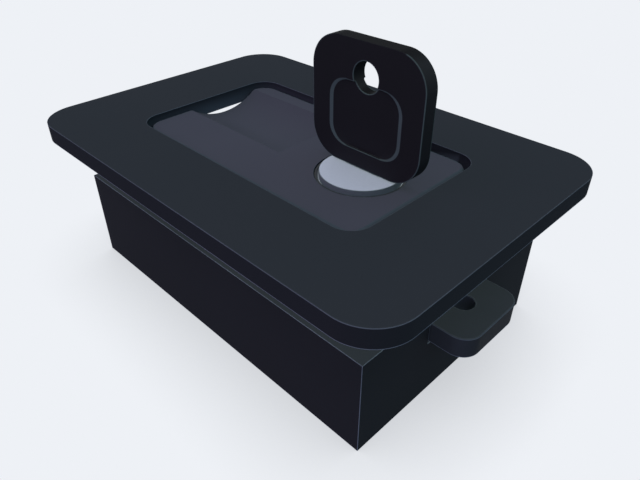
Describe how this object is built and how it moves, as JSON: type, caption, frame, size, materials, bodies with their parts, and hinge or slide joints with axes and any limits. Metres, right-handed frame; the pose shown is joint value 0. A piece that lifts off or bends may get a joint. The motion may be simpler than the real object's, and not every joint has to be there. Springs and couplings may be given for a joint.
{
  "type": "glove box latch",
  "caption": "Flush panel latch with a key-locked paddle in a rectangular bezel; lifting the paddle draws a flat bolt back into the housing behind the panel.",
  "frame": {"origin": "centre of the housing's rear face, on which the latch stands", "axes": "+Z out of the door panel towards the user, +X along the length to the bolt's nose, Y across"},
  "size_m": [0.104, 0.07, 0.0615],
  "materials": {
    "bezel_plastic": "fine moulded grain",
    "paddle_plastic": "fine moulded grain, slightly lighter",
    "housing_plastic": "moulded, satin",
    "black_zinc": "black coated die casting",
    "key_plastic": "moulded, satin",
    "satin_zinc": "satin plated",
    "cast_zinc": "plated die casting",
    "plated_steel": "zinc plated",
    "bright_steel": "turned, plated",
    "spring_wire": "drawn wire",
    "key_steel": "nickel plated",
    "wafer_brass": "stamped",
    "white_nylon": "moulded",
    "black_rubber": "moulded"
  },
  "bodies": {
    "latch_body": {"bezel": "bezel_plastic", "housing": "housing_plastic", "rear_cover": "housing_plastic", "clamp_screws": "bright_steel", "cover_screws": "bright_steel", "paddle_bumpers": "black_rubber", "pivot_pins": "bright_steel", "pin_clips": "bright_steel", "pivot_washers": "white_nylon", "paddle_springs": "spring_wire", "spring_rod": "bright_steel", "bolt_spring": "spring_wire"},
    "bolt": {"bolt": "black_zinc"},
    "paddle": {"paddle": "paddle_plastic", "crank": "plated_steel", "crank_screws": "bright_steel", "lock_barrel": "cast_zinc", "barrel_clip": "spring_wire"},
    "plug": {"lock_plug": "satin_zinc", "wafers": "wafer_brass", "wafer_springs": "spring_wire", "cam": "plated_steel", "cam_screw": "bright_steel"},
    "key": {"key_blade": "key_steel", "key_head": "key_plastic"}
  },
  "joints": [
    {"name": "paddle_lift", "type": "hinge", "parent": "latch_body", "child": "paddle", "pos_m": [0.026, 0, 0.0315], "axis": [0, 1, 0], "range_deg": [0, 20], "stiffness_Nm_per_rad": 0.12, "springref_deg": -28.65, "deforming": ["paddle_springs"]},
    {"name": "bolt_slide", "type": "slide", "parent": "latch_body", "child": "bolt", "axis": [-1, 0, 0], "range_m": [0, 0.0081], "stiffness_N_per_m": 30, "springref_m": -0.01, "deforming": ["bolt_spring"]},
    {"name": "plug_turn", "type": "hinge", "parent": "paddle", "child": "plug", "pos_m": [0.018, 0, 0.0363], "axis": [0, 0, -1], "range_deg": [0, 90]},
    {"name": "key_pull", "type": "slide", "parent": "plug", "child": "key", "axis": [0, 0, 1], "range_m": [0, 0.018]}
  ],
  "couplings": [
    {"joint": "bolt_slide", "follows": "paddle_lift", "m_per_rad": 0.023025}
  ]
}
